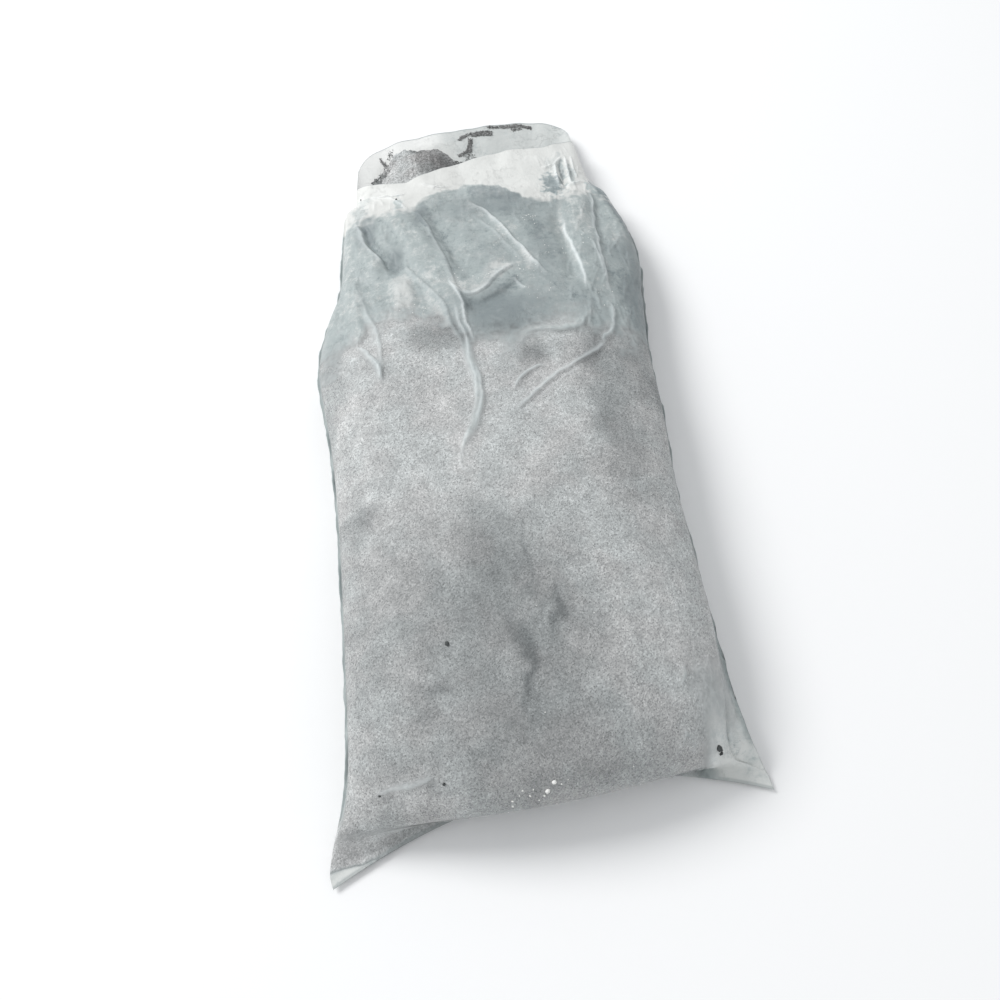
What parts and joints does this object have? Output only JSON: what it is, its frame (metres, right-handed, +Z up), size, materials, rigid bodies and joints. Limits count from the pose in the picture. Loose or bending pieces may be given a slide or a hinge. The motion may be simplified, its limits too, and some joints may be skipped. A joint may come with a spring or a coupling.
{
  "type": "bag of stone dust",
  "caption": "Clear polythene bag of grey stone dust lying on its back, welded at the bottom with two corner ears, open at the mouth with dust spilling inside it.",
  "frame": {"origin": "centre of the bag's bounding box, on the floor it lies on", "axes": "+Z up, +Y along the bag from the welded end to the open mouth, +X to the right as seen from the welded end"},
  "size_m": [0.381, 0.879, 0.1011],
  "materials": {
    "film": "thin milky polythene film, creased, dusty on the inside",
    "dust": "fine grey crushed stone dust with lighter and darker grains"
  },
  "bodies": {
    "root": {"polythene_film": "film", "stone_dust": "dust"}
  },
  "joints": []
}
